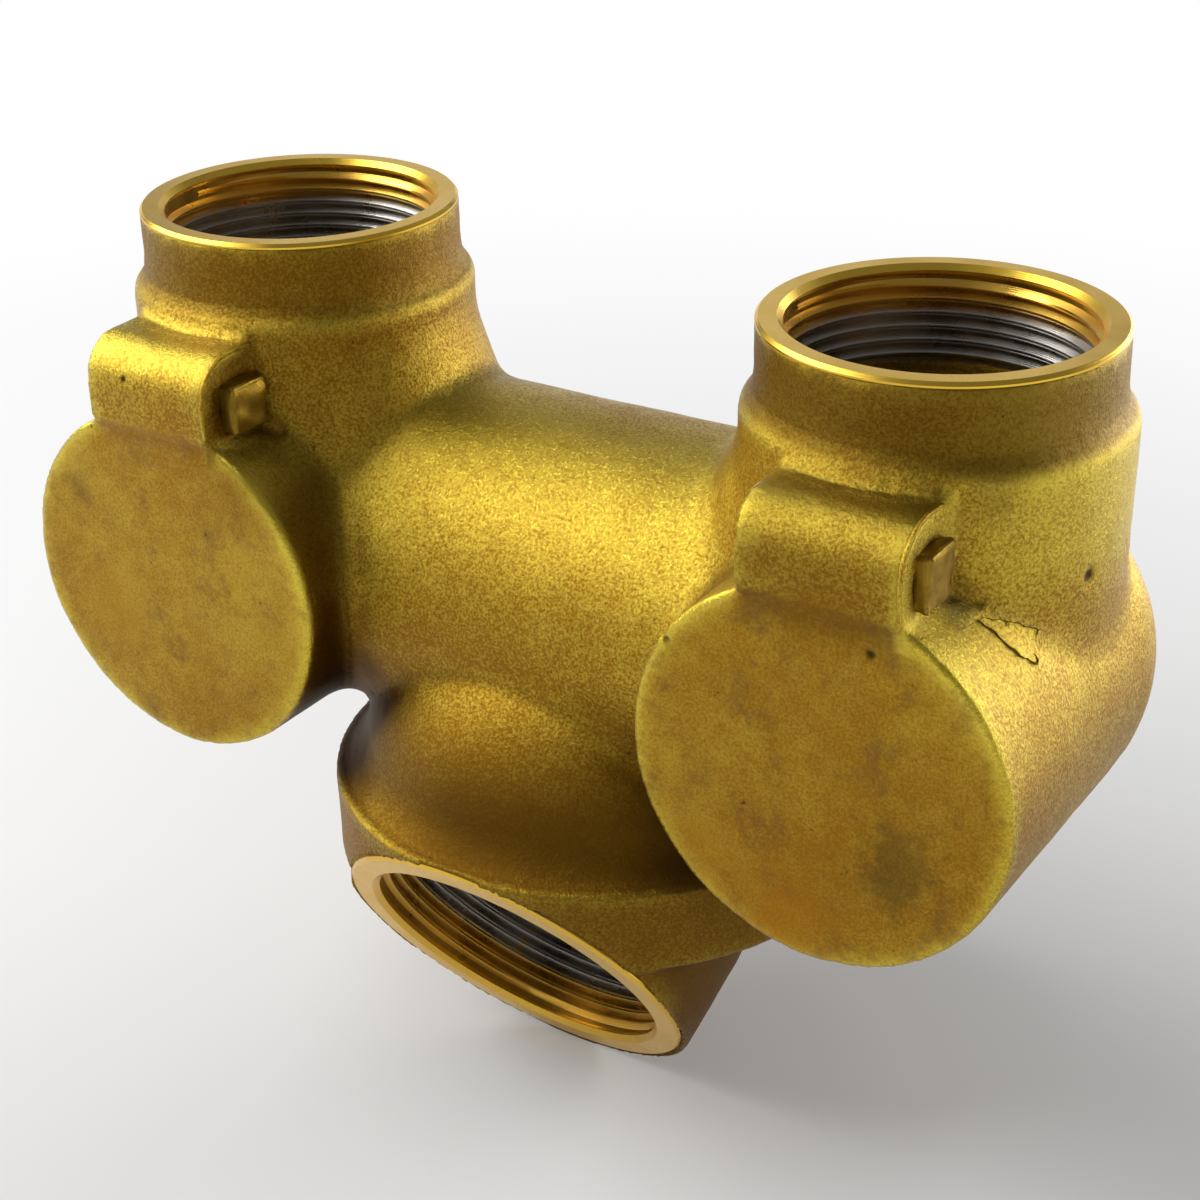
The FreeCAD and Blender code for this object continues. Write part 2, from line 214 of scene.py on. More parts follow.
class SIAMESE_PG_pieces(bpy.types.PropertyGroup):
    """Plugs, clappers and what is on them."""
    plug_bevel: FloatProperty(
        name="Plug bevel", description="Worn edge of a plug", default=0.0018, unit="LENGTH")
    plug_ground: FloatProperty(
        name="Plug ground off", description="What is ground off the right plug", default=0.0014,
        unit="LENGTH")
    plug_dents: FloatProperty(
        name="Plug dents", description="Depth of the dents in a plug", default=0.0007, unit="LENGTH")
    plug_brass: FloatVectorProperty(
        name="Plug brass", description="Tarnished plug brass", default=(0.33, 0.205, 0.025), subtype="COLOR")
    clapper_brass: FloatVectorProperty(
        name="Clapper brass", description="Turned clapper brass", default=(0.70, 0.50, 0.15), subtype="COLOR")
    rubber: FloatVectorProperty(
        name="Rubber", description="Facing rubber", default=(0.022, 0.022, 0.023), subtype="COLOR")
    steel: FloatVectorProperty(
        name="Steel", description="Stainless pin", default=(0.60, 0.59, 0.57), subtype="COLOR")


class SIAMESE_PG_stage(bpy.types.PropertyGroup):
    """Floor, lights and camera."""
    floor: FloatVectorProperty(
        name="Floor", description="Colour of the floor", default=(0.80, 0.80, 0.80), subtype="COLOR")
    floor_radius: FloatProperty(
        name="Floor radius", description="Radius of the flat floor", default=12.0, unit="LENGTH")
    floor_rise: FloatProperty(
        name="Floor rise", description="How far the floor's far rim rises", default=2.6, unit="LENGTH")
    white_near: FloatProperty(
        name="White near", description="Share of plain white in the floor at the object", default=0.10)
    white_from: FloatProperty(
        name="White from", description="Distance at which the floor turns white", default=0.20, unit="LENGTH")
    white_to: FloatProperty(
        name="White to", description="Distance at which the floor is white", default=0.90, unit="LENGTH")
    key: FloatProperty(name="Key", description="Power of the key light", default=13.0, unit="POWER")
    rim: FloatProperty(name="Rim", description="Power of the light from behind", default=9.0, unit="POWER")
    back: FloatProperty(
        name="Back", description="Power of the light from the left behind", default=0.8, unit="POWER")
    fill: FloatProperty(name="Sky", description="Level of the even light", default=0.22)
    lens: FloatProperty(
        name="Lens", description="Focal length on a 36 mm sensor", default=66.287, subtype="DISTANCE_CAMERA")
    eye: FloatVectorProperty(
        name="Eye", description="Place of the camera", default=(0.29761, -0.40193, 0.36370),
        subtype="TRANSLATION")
    forward: FloatVectorProperty(
        name="Forward", description="Where the camera looks", default=(-0.4928225, 0.7436108, -0.4518505),
        subtype="DIRECTION")
    right: FloatVectorProperty(
        name="Right", description="The picture's right side", default=(0.8384944, 0.5446038, -0.0182707),
        subtype="DIRECTION")


class Shader:
    """Small helper that lays out one procedural material's nodes."""

    def __init__(self, name):
        self.material = bpy.data.materials.new(name)
        self.material.use_nodes = True
        self.tree = self.material.node_tree
        self.principled = self.tree.nodes["Principled BSDF"]
        self.coords = self.node("ShaderNodeTexCoord").outputs["Object"]

    def node(self, kind, **values):
        made = self.tree.nodes.new(kind)
        for key, value in values.items():
            setattr(made, key, value)
        return made

    def feed(self, socket, value):
        if isinstance(value, bpy.types.NodeSocket):
            self.tree.links.new(value, socket)
        else:
            socket.default_value = value

    def set(self, **values):
        for key, value in values.items():
            self.feed(self.principled.inputs[key.replace("_", " ")], value)

    def attribute(self, name):
        return self.node("ShaderNodeAttribute", attribute_name=name).outputs["Fac"]

    def noise(self, scale, detail=2.0, roughness=0.5):
        made = self.node("ShaderNodeTexNoise")
        self.feed(made.inputs["Vector"], self.coords)
        made.inputs["Scale"].default_value = scale
        made.inputs["Detail"].default_value = detail
        made.inputs["Roughness"].default_value = roughness
        return made.outputs["Fac"]

    def math(self, operation, a, b):
        made = self.node("ShaderNodeMath", operation=operation)
        self.feed(made.inputs[0], a)
        self.feed(made.inputs[1], b)
        return made.outputs[0]

    def span(self, value, low, high, to_low=0.0, to_high=1.0):
        """Maps low..high of a value smoothly to to_low..to_high."""
        made = self.node("ShaderNodeMapRange", interpolation_type="SMOOTHSTEP")
        self.feed(made.inputs["Value"], value)
        made.inputs["From Min"].default_value = low
        made.inputs["From Max"].default_value = high
        made.inputs["To Min"].default_value = to_low
        made.inputs["To Max"].default_value = to_high
        return made.outputs["Result"]

    def near(self, place, inner, outer, pattern, ragged):
        """One at a place, falling to nothing at an outer distance that a pattern makes ragged."""
        made = self.node("ShaderNodeVectorMath", operation="DISTANCE")
        self.feed(made.inputs[0], self.coords)
        made.inputs[1].default_value = place
        shift = self.math("MULTIPLY", self.math("SUBTRACT", pattern, 0.5), ragged)
        return self.span(self.math("ADD", made.outputs["Value"], shift), inner, outer, 1.0, 0.0)

    def mix(self, factor, a, b):
        made = self.node("ShaderNodeMix", data_type="RGBA")
        self.feed(made.inputs[0], factor)
        for socket, value in ((made.inputs[6], a), (made.inputs[7], b)):
            self.feed(socket, value if isinstance(value, bpy.types.NodeSocket) else (*value, 1.0))
        return made.outputs[2]

    def bump(self, height, strength, distance, below=None):
        made = self.node("ShaderNodeBump")
        made.inputs["Strength"].default_value = strength
        made.inputs["Distance"].default_value = distance
        self.feed(made.inputs["Height"], height)
        if below:
            self.feed(made.inputs["Normal"], below)
        return made.outputs["Normal"]


def cast_brass_material(settings):
    """Sand-cast brass: grain, mottled tarnish, the photo's few stains, painted shade in creases and sheltered
    places, and painted light on upward faces.
    """
    s = Shader("cast_brass")
    grain = 1.0 / settings.grain
    broad = s.noise(14.0, 3.0, 0.5)
    patchy = s.noise(120.0, 4.0, 0.65)
    blot = s.noise(230.0, 5.0, 0.75)
    fine = s.noise(grain, 5.0, 0.78)
    speck = s.noise(grain * 0.22, 3.0, 0.7)
    tone = s.math("ADD", s.math("MULTIPLY", broad, 0.6), s.math("MULTIPLY", patchy, 0.4))
    wear = s.attribute("wear")
    occlusion_shade = s.attribute("occlusion_shade")
    # mix of tarnish and brass: random tone and wear, raised by painted light and lowered by painted shade
    clean_and_lit = s.math("ADD", s.span(tone, 0.34, 0.66, -0.04, 0.28), s.math("MULTIPLY", wear, 0.6))
    # painted light on upward faces and the right neck
    clean_and_lit = s.math("ADD", clean_and_lit, s.math("MULTIPLY", s.attribute("painted_light"), 0.64))
    # painted shade: sheltered skin is painted towards tarnish
    clean_and_lit = s.math("SUBTRACT", clean_and_lit, s.span(occlusion_shade, 0.10, 0.50, 0.0, 0.40))
    cover = s.attribute("cover")
    sanded = s.math("SUBTRACT", 1.0, s.math("MULTIPLY", cover, 0.62))
    grains = s.math("MULTIPLY", s.span(fine, 0.36, 0.62, -0.42, 0.38), sanded)
    clean_and_lit = s.math("MINIMUM", s.math("MAXIMUM", s.math("ADD", clean_and_lit, grains), 0.0), 1.0)
    colour = s.mix(clean_and_lit, settings.tarnish, settings.brass)
    # brown grime together with painted shade on the bell, collars, shoulder, boss and flanks
    colour = s.mix(s.attribute("grime_and_shade"), colour, settings.grime_and_shade)
    smears = s.span(s.noise(65.0, 5.0, 0.7), 0.50, 0.68, 0.0, 0.60)
    colour = s.mix(s.math("MULTIPLY", smears, cover), colour, settings.smear)
    colour = s.mix(s.span(speck, 0.31, 0.25, 0.0, 0.75), colour, settings.dark_and_shade)
    for place, size, strength, stain in CAST_STAINS:
        ragged = s.near(place, size * 0.1, size * 1.1, blot, size * 1.8)
        colour = s.mix(s.math("MULTIPLY", ragged, strength), colour, stain)
    # painted shade in the sand pits
    for place, size, _ in CAST_PITS:
        colour = s.mix(s.near(place, size * 0.3, size, blot, size * 0.9), colour, settings.dark_and_shade)
    # painted shade in the filled creases, on the left boss's end and in the gap round the flake
    colour = s.mix(s.math("MULTIPLY", s.attribute("crease_shade"), 0.8), colour, settings.dark_and_shade)
    # painted shade where other walls shelter the skin
    colour = s.mix(s.span(occlusion_shade, 0.08, 0.48, 0.0, 0.70), colour, settings.dark_and_shade)
    colour = s.mix(s.math("MULTIPLY", s.attribute("inside"), 0.55), colour, settings.dark_and_shade)
    rough = s.math("SUBTRACT", s.span(clean_and_lit, 0.0, 1.0, 0.44, 0.27), s.math("MULTIPLY", wear, 0.04))
    rough = s.math("ADD", rough, s.math("MULTIPLY", s.attribute("grime_and_shade"), 0.15))
    s.set(Base_Color=colour, Metallic=1.0, Roughness=rough)
    coarse = s.bump(speck, 0.30, 0.0009)
    s.set(Normal=s.bump(s.math("MULTIPLY", fine, sanded), 0.62, 0.0004, coarse))
    return s.material


def turned_brass_material(settings):
    """Turned brass: fine tool rings on the faces, browner and then grey down the threads."""
    s = Shader("turned_brass")
    depth = s.attribute("depth")
    ring = s.attribute("ring")
    blotch = s.noise(60.0, 3.0, 0.6)
    uneven = s.math("ADD", depth, s.math("MULTIPLY", s.math("SUBTRACT", blotch, 0.5), 0.10))
    brown = (0.70, 0.42, 0.070)
    colour = s.mix(s.span(uneven, 0.02, 0.16), settings.gold, brown)
    colour = s.mix(s.span(uneven, 0.38, 0.47), colour, settings.grey)
    colour = s.mix(s.span(blotch, 0.60, 0.72, 0.0, 0.5), colour, brown)
    ring_rate = 16000.0
    tool = s.math("SINE", s.math("MULTIPLY", ring, ring_rate), 0.0)
    s.set(Base_Color=colour, Metallic=1.0, Roughness=s.span(blotch, 0.3, 0.7, 0.24, 0.36))
    s.set(Normal=s.bump(tool, 0.10, 0.0001))
    return s.material


def plain_metal_material(name, colour, roughness, grain):
    """One metal with a slightly uneven finish."""
    s = Shader(name)
    blotch = s.noise(140.0, 3.0, 0.6)
    dark = tuple(0.62 * c for c in colour)
    s.set(Base_Color=s.mix(s.span(blotch, 0.40, 0.68, 0.0, 0.8), tuple(colour), dark), Metallic=1.0)
    s.set(Roughness=s.span(blotch, 0.3, 0.7, roughness - 0.05, roughness + 0.07))
    s.set(Normal=s.bump(s.noise(grain, 2.0, 0.6), 0.30, 0.0003))
    return s.material


def rubber_material(settings):
    """Moulded black rubber with a faint bloom."""
    s = Shader("facing_rubber")
    bloom = s.noise(120.0, 3.0, 0.6)
    pale = tuple(2.2 * c for c in settings.rubber)
    s.set(Base_Color=s.mix(s.span(bloom, 0.45, 0.75), tuple(settings.rubber), pale))
    s.set(Roughness=0.62, Normal=s.bump(s.noise(2600.0), 0.15, 0.0002))
    return s.material


def floor_material(settings):
    """Pale paper that takes the shadow near the object and turns plain white farther off."""
    s = Shader("floor_paper")
    s.set(Base_Color=(*settings.floor, 1.0), Roughness=0.9, Specular_IOR_Level=0.1)
    path = s.node("ShaderNodeLightPath").outputs
    mirrored = s.math("ADD", path["Is Glossy Ray"], path["Is Transmission Ray"])
    seen = s.math("ADD", path["Is Camera Ray"], mirrored)
    white = s.node("ShaderNodeEmission")
    white.inputs["Color"].default_value = (1.0, 1.0, 1.0, 1.0)
    white.inputs["Strength"].default_value = 1.0
    away = s.node("ShaderNodeVectorMath", operation="LENGTH")
    s.feed(away.inputs[0], s.coords)
    far = s.span(away.outputs["Value"], settings.white_from, settings.white_to, settings.white_near)
    mixed = s.node("ShaderNodeMixShader")
    s.feed(mixed.inputs[0], s.math("MULTIPLY", seen, far))
    s.feed(mixed.inputs[1], s.principled.outputs["BSDF"])
    s.feed(mixed.inputs[2], white.outputs["Emission"])
    s.feed(s.tree.nodes["Material Output"].inputs["Surface"], mixed.outputs["Shader"])
    return s.material


def linked(name, data):
    """New object in the scene with a given mesh, lamp or camera."""
    made = bpy.data.objects.new(name, data)
    bpy.context.scene.collection.objects.link(made)
    return made


def bake(obj):
    """Puts an object's modifiers into its mesh."""
    graph = bpy.context.evaluated_depsgraph_get()
    mesh = bpy.data.meshes.new_from_object(obj.evaluated_get(graph))
    obj.modifiers.clear()
    old = obj.data
    obj.data = mesh
    bpy.data.meshes.remove(old)


def dress(obj, material, body, slot, *nodes):
    """Gives a piece its material and its body, and hides the CAD nodes it stands for; the slot argument is not
    used.
    """
    obj.data.materials.clear()
    obj.data.materials.append(material)
    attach(obj, body)
    if nodes:
        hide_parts(*nodes)


def even_skin(settings):
    """Merged copy of the casting's CAD mesh with an even mesh step."""
    bm = bmesh.new()
    bm.from_mesh(frame["nodes"]["body_casting"].data)
    bmesh.ops.remove_doubles(bm, verts=bm.verts, dist=1e-6)
    mesh = bpy.data.meshes.new("cast_body")
    bm.to_mesh(mesh)
    bm.free()
    obj = linked("cast_body", mesh)
    remesh = obj.modifiers.new("Even skin", "REMESH")
    remesh.mode = "VOXEL"
    remesh.voxel_size = settings.voxel
    bake(obj)
    return obj


def mouth_sizes(name, settings):
    """Crest radius, face radius and threaded length of a mouth."""
    dims = MOUNTS[name]["dims"]
    face = settings.outlet_face_r if name == "outlet" else settings.inlet_face_r
    return dims["r_mm"] / 1000, face, dims["length_mm"] / 1000 + settings.chamfer


def mouth_places(settings):
    """Inverse frame, crest radius, face radius and threaded length of each mouth."""
    places = []
    for name in MOUTHS:
        crest, face, length = mouth_sizes(name, settings)
        places.append((mouth_frame(name).inverted(), crest, face, length))
    return places


def outer_skin(bm, places):
    """Outside vertices: a walk over the surface that stops at the mouths and the pin holes."""
    mouth_depth, mouth_margin, pin_hole_r = 0.004, 0.0028, 0.008

    def stops(co):
        for inverse, crest, _, _ in places:
            local = inverse @ co
            if local.z > -mouth_depth and math.hypot(local.x, local.y) < crest + mouth_margin:
                return True
        return any(math.hypot(co.y - h.y, co.z - h.z) < pin_hole_r for h in HINGES.values())

    start = max(bm.verts, key=lambda v: v.co.x)
    seen = {start}
    front = [start]
    while front:
        vert = front.pop()
        for edge in vert.link_edges:
            other = edge.other_vert(vert)
            if other not in seen and not stops(other.co):
                seen.add(other)
                front.append(other)
    return seen


def cast_fillets(bm, skin, crease_shade, wear, settings):
    """Fills the concave creases as a foundry pattern does, and leaves the outer edges as they are."""
    worn_away, darkest_fill = 0.0016, 0.0030
    boss_half_length, boss_root = 0.027, 0.026
    step = 1.0
    rest = {v: (v.co.copy(), v.normal.copy()) for v in skin}
    for _ in range(int(settings.fillet_rounds / step ** 2)):
        bmesh.ops.smooth_vert(
            bm, verts=list(skin), factor=0.5, use_axis_x=True, use_axis_y=True, use_axis_z=True)
    for vert, (place, normal) in rest.items():
        fill = (vert.co - place).dot(normal)
        vert[wear] = min(max(-fill / worn_away - 0.2, 0.0), 1.0)
        fill = max(fill, 0.0)
        if place.z > COLLAR_Z:
            fill = min(fill, settings.collar_fill)
        for hinge in HINGES.values():
            away = math.hypot(place.y - hinge.y, place.z - hinge.z)
            if abs(place.x - hinge.x) < boss_half_length and away < boss_root:
                fill = min(fill, settings.boss_fill + max(away - BOSS_R, 0.0) * 0.3)
        vert.co = place + normal * fill
        # painted shade: the deeper a crease is filled, the darker it is painted
        vert[crease_shade] = min(fill / darkest_fill, 1.0)


def cast_waves(bm, skin, settings):
    """Gives the skin the slight unevenness of a sand casting."""
    waves_per_m, ripples_per_m = 55.0, 210.0
    bm.normal_update()
    for vert in skin:
        wave = noise.noise(vert.co * waves_per_m) * settings.wave
        ripple = noise.noise(vert.co * ripples_per_m) * settings.ripple
        vert.co += vert.normal * (wave + ripple)


def cast_pits(skin):
    """Sinks the few sand pits into the skin."""
    for place, size, depth in CAST_PITS:
        centre = Vector(place)
        for vert in skin:
            away = (vert.co - centre).length
            if away < size:
                vert.co -= vert.normal * depth * (1.0 - (away / size) ** 2)


def boss_ends(skin, crease_shade, wear):
    """Darkens the end of the left boss with painted shade and brightens the ground end of the right one."""
    at_end, ground, darkened = 0.0015, 0.9, 0.45
    for hinge in HINGES.values():
        for vert in skin:
            away = math.hypot(vert.co.y - hinge.y, vert.co.z - hinge.z)
            if abs(vert.co.x - hinge.x - BOSS_END) < at_end and away < BOSS_R:
                if hinge.x > 0:
                    vert[wear] = max(vert[wear], ground)
                else:
                    vert[crease_shade] = max(vert[crease_shade], darkened)


def ramp(value, low, high):
    """Zero at low, one at high, straight between."""
    return min(max((value - low) / (high - low), 0.0), 1.0)


def grime_and_shade_marks(skin, grime_and_shade):
    """Marks brown grime together with painted shade: bell, collars, left shoulder, right boss and the drums' inner
    flanks.
    """
    hinge = HINGES["right_flap"]
    for vert in skin:
        x, y, z = vert.co
        bell = ramp(z, 0.088, 0.060) * ramp(math.hypot(x, y - BELL_Y), 0.088, 0.070)
        bell_right = ramp(x, -0.025, 0.0)
        collar = ramp(z, COLLAR_Z - 0.002, COLLAR_Z + 0.002)
        shoulder = ramp(abs(x + 0.062), 0.024, 0.010) * ramp(z, 0.116, 0.132)
        from_hinge = math.hypot(y - hinge.y, z - hinge.z)
        boss = ramp(abs(x - hinge.x), 0.024, 0.018) * ramp(from_hinge, 0.024, 0.018)
        from_drum = math.hypot(abs(x) - DRUM_X, z - DRUM_Z)
        flank = ramp(abs(x), 0.080, 0.062) * ramp(from_drum, 0.0540, 0.0500) * ramp(y, -0.0148, -0.013)
        vert[grime_and_shade] = max(
            (0.64 + 0.30 * bell_right) * bell, (0.62 + 0.16 * ramp(x, 0.0, 0.05)) * collar, 0.40 * shoulder,
            0.36 * boss, 0.70 * flank)


def cover_faces(skin, cover):
    """Marks the smoother metal of the two round covers."""
    for vert in skin:
        x, y, z = vert.co
        from_drum = math.hypot(abs(x) - DRUM_X, z - DRUM_Z)
        vert[cover] = ramp(y, -0.0140, -0.0152) * ramp(from_drum, 0.0495, 0.0470)


def shade_and_light_marks(bm, skin, occlusion_shade, painted_light, reach):
    """Marks painted shade, brown and dark, where other walls shelter the skin, and painted light on upward faces
    above the bell and on the right neck, less on the crossover's back.
    """
    ray_count, ray_spread, ray_start = 8, 0.95, 0.002
    smoothing_rounds = 5
    tree = BVHTree.FromBMesh(bm)
    rays = []
    for i in range(ray_count):
        height = 1.0 - (2 * i + 1) / ray_count
        flat = math.sqrt(1.0 - height ** 2)
        turn = i * math.pi * (3.0 - math.sqrt(5.0))
        rays.append(Vector((flat * math.cos(turn), flat * math.sin(turn), height)) * ray_spread)
    # painted shade: the more the rays are closed off by other walls, the darker the skin is painted
    for vert in skin:
        start = vert.co + vert.normal * ray_start
        closed = 0.0
        for ray in rays:
            distance = tree.ray_cast(start, vert.normal + ray, reach)[3]
            if distance is not None:
                closed += 1.0 - distance / reach
        vert[occlusion_shade] = closed / len(rays)
        # painted light: upward faces above the bell and the right neck are painted brighter, the crossover's back
        # less so
        x, y, z = vert.co
        crossover_back = ramp(abs(x), 0.066, 0.050) * ramp(y, 0.036, 0.058)
        neck_right = ramp(x, 0.112, 0.130) * ramp(z, 0.125, 0.145)
        upward = max(0.15 + 0.85 * vert.normal.z, 0.0) * ramp(z, 0.070, 0.100)
        vert[painted_light] = max(upward * (1.0 - 0.65 * crossover_back), 0.80 * neck_right)
    for _ in range(smoothing_rounds):
        means = {}
        for vert in skin:
            around_it = [edge.other_vert(vert)[occlusion_shade] for edge in vert.link_edges]
            means[vert] = (vert[occlusion_shade] + sum(around_it)) / (1 + len(around_it))
        for vert, mean in means.items():
            vert[occlusion_shade] = mean


def clear_mouths(bm, places, depth, reach):
    """Lowers the casting under the turned faces and widens it behind the turned threads."""
    inside_crest, past_face = 0.002, 0.0004
    for inverse, crest, face, length in places:
        back = inverse.inverted()
        for vert in bm.verts:
            local = inverse @ vert.co
            radius = math.hypot(local.x, local.y)
            if -length < local.z and crest - inside_crest < radius < crest + reach:
                local.x *= (crest + reach) / radius
                local.y *= (crest + reach) / radius
                radius = crest + reach
                vert.co = back @ local
            if -depth < local.z and crest < radius < face + past_face:
                local.z = -depth
                vert.co = back @ local


class SIAMESE_OT_cast_body(bpy.types.Operator):
    """Builds the casting's skin with its fillets, waves and creases."""
    bl_idname = "siamese.cast_body"
    bl_label = "Cast body"

    def execute(self, context):
        settings = context.scene.siamese_casting
        mouths = context.scene.siamese_mouths
        places = mouth_places(mouths)
        obj = even_skin(settings)
        bm = bmesh.new()
        bm.from_mesh(obj.data)
        # The first and fourth marks carry painted shade, the fifth painted light, the sixth grime with painted
        # shade.
        marks = ("crease_shade", "inside", "wear", "occlusion_shade", "painted_light", "grime_and_shade", "cover")
        layers = [bm.verts.layers.float.new(mark) for mark in marks]
        crease_shade, inside, wear, occlusion_shade, painted_light, grime_and_shade, cover = layers
        bm.normal_update()
        skin = outer_skin(bm, places)
        for vert in bm.verts:
            vert[inside] = 0.0 if vert in skin else 1.0
        cast_fillets(bm, skin, crease_shade, wear, settings)
        cast_waves(bm, skin, settings)
        bm.normal_update()
        cast_pits(skin)
        boss_ends(skin, crease_shade, wear)
        grime_and_shade_marks(skin, grime_and_shade)
        cover_faces(skin, cover)
        shade_and_light_marks(bm, skin, occlusion_shade, painted_light, settings.occlusion_reach)
        clear_mouths(bm, places, depth=0.0014, reach=mouths.thread_h + mouths.wall / 2)
        bm.to_mesh(obj.data)
        bm.free()
        total = sum(len(p.vertices) - 2 for p in obj.data.polygons)
        if total > settings.triangles:
            thin = obj.modifiers.new("Fewer faces", "DECIMATE")
            thin.ratio = settings.triangles / total
            bake(obj)
        obj.data.shade_smooth()
        dress(obj, cast_brass_material(settings), "casting", "cast_brass", "body_casting")
        return {"FINISHED"}


def lap_mesh(settings, skin):
    """Thin flake of lapped metal that lies on the casting, with painted light on the flake and a dark rim of
    painted shadow round it.
    """
    ragged, ragged_per_m = 0.0008, 600.0
    skirt_width, ray_start = 0.0005, 0.012
    flake_painted_light, gap_shadow, gaps_per_m = 0.8, 0.8, 350.0
    noise.seed_set(LAP_SEED)
    points = []
    for i, corner in enumerate(LAP_OUTLINE):
        following = LAP_OUTLINE[(i + 1) % len(LAP_OUTLINE)]
        for part in (0.0, 0.25, 0.5, 0.75):
            point = Vector(corner).lerp(Vector(following), part)
            points.append(point + noise.noise_vector(point * ragged_per_m) * ragged)
    centre = sum(points, Vector()) / len(points)
    tree = BVHTree.FromPolygons([v.co for v in skin.vertices], [tuple(p.vertices) for p in skin.polygons])

    def on_skin(point):
        outward = Vector((point.x - DRUM_X, 0.0, point.z - DRUM_Z)).normalized()
        place, normal, _, _ = tree.ray_cast(point + outward * ray_start, -outward)
        if place is None:
            raise RuntimeError("the lap lies off the casting")
        return place, normal

    bm = bmesh.new()
    painted_light = bm.verts.layers.float.new("painted_light")
    crease_shade = bm.verts.layers.float.new("crease_shade")
    skirt = [bm.verts.new(point) for point in points]
    top = [bm.verts.new(point + (centre - point).normalized() * skirt_width) for point in points]
    for i in range(len(points)):
        bm.faces.new((skirt[i - 1], skirt[i], top[i], top[i - 1]))
    bmesh.ops.triangulate(bm, faces=[bm.faces.new(top)])
    inner = [e for e in bm.edges if e.verts[0] in top and e.verts[1] in top]
    bmesh.ops.subdivide_edges(bm, edges=inner, cuts=3, use_grid_fill=True)
    for vert in bm.verts:
        # painted light on the flake
        vert[painted_light] = flake_painted_light
        place, normal = on_skin(vert.co)
        vert.co = place + normal * settings.lap_height * (-1.0 if vert in skirt else 0.6)
    edge = [on_skin(point) for point in points]
    rings = []
    for i, (place, normal) in enumerate(edge):
        along = edge[(i + 1) % len(edge)][0] - edge[i - 1][0]
        uneven = 0.8 + 0.9 * noise.noise(place * gaps_per_m)
        aside = normal.cross(along).normalized() * settings.lap_gap * uneven
        lift = normal * settings.lap_height * uneven
        rings.append([bm.verts.new(place + offset) for offset in (aside, lift, -aside, -lift)])
        # painted shadow in the gap round the flake
        for vert in rings[-1]:
            vert[crease_shade] = gap_shadow
    for i, ring in enumerate(rings):
        for j in range(4):
            bm.faces.new((rings[i - 1][j - 1], rings[i - 1][j], ring[j], ring[j - 1]))
    bmesh.ops.recalc_face_normals(bm, faces=bm.faces)
    mesh = bpy.data.meshes.new("right_drum_lap")
    bm.to_mesh(mesh)
    bm.free()
    mesh.shade_smooth()
    return mesh


def flash_mesh(name, hinge, settings):
    """Uneven lip of flash round the front and top of a boss's right end."""
    end = hinge.x + BOSS_END
    front, foot, top, round_r = hinge.y - 0.014, hinge.z - 0.006, hinge.z + 0.0145, 0.012
    step, step_deg = 0.0012, 7.5
    proud, sunk, flash_wear = 0.0002, -0.0006, 0.6
    line = [(front, foot + step * i, -1.0, 0.0) for i in range(8)]
    for i in range(13):
        turn = math.radians(180 - step_deg * i)
        out_y, out_z = math.cos(turn), math.sin(turn)
        line.append((front + round_r + round_r * out_y, top - round_r + round_r * out_z, out_y, out_z))
    line += [(front + round_r + step * i, top, 0.0, 1.0) for i in range(1, 8)]
    bm = bmesh.new()
    wear = bm.verts.layers.float.new("wear")
    rows = []
    for i, (y, z, out_y, out_z) in enumerate(line):
        part = i / (len(line) - 1)
        uneven = 0.75 + 0.6 * noise.noise(Vector((end * 90.0, y * 320.0, z * 320.0)))
        height = settings.flash_height * uneven * min(1.0, 8.0 * part, 8.0 * (1.0 - part))
        row = []
        profile = (
            (end + proud, sunk), (end + proud, height), (end - settings.flash_width * 0.35, height),
            (end - settings.flash_width, sunk))
        for x, rise in profile:
            row.append(bm.verts.new((x, y + out_y * rise, z + out_z * rise)))
            row[-1][wear] = flash_wear
        rows.append(row)
    for row, following in zip(rows, rows[1:]):
        for i in range(4):
            bm.faces.new((row[i - 1], row[i], following[i], following[i - 1]))
    bm.faces.new(rows[0])
    bm.faces.new(rows[-1])
    bmesh.ops.recalc_face_normals(bm, faces=bm.faces)
    sharp = [e for e in bm.edges if e.calc_face_angle(0.0) > 0.7]
    bmesh.ops.bevel(
        bm, geom=sharp, offset=0.0002, affect="EDGES", segments=2, profile=0.5, material=-1)
    mesh = bpy.data.meshes.new(name)
    bm.to_mesh(mesh)
    bm.free()
    mesh.shade_smooth()
    return mesh


class SIAMESE_OT_cast_flaws(bpy.types.Operator):
    """Builds the casting's flaws that stand up: the lap on the right drum and the flash at the bosses."""
    bl_idname = "siamese.cast_flaws"
    bl_label = "Casting flaws"

    def execute(self, context):
        settings = context.scene.siamese_casting
        skin = bpy.data.objects["cast_body"].data
        material = skin.materials[0]
        lap = linked("right_drum_lap", lap_mesh(settings, skin))
        dress(lap, material, "casting", "cast_brass")
        for body, hinge in HINGES.items():
            name = body.replace("_flap", "_boss_flash")
            flash = linked(name, flash_mesh(name, hinge, settings))
            dress(flash, material, "casting", "cast_brass")
        return {"FINISHED"}


def spun(bm, points, facets):
    """Full turn of a closed profile of (radius, height) points about Z."""
    verts = [bm.verts.new((r, 0.0, z)) for r, z in points]
    edges = [bm.edges.new((verts[i - 1], verts[i])) for i in range(len(verts))]
    bmesh.ops.spin(
        bm, geom=verts + edges, cent=(0, 0, 0), axis=(0, 0, 1), angle=math.tau, steps=facets, use_merge=True)


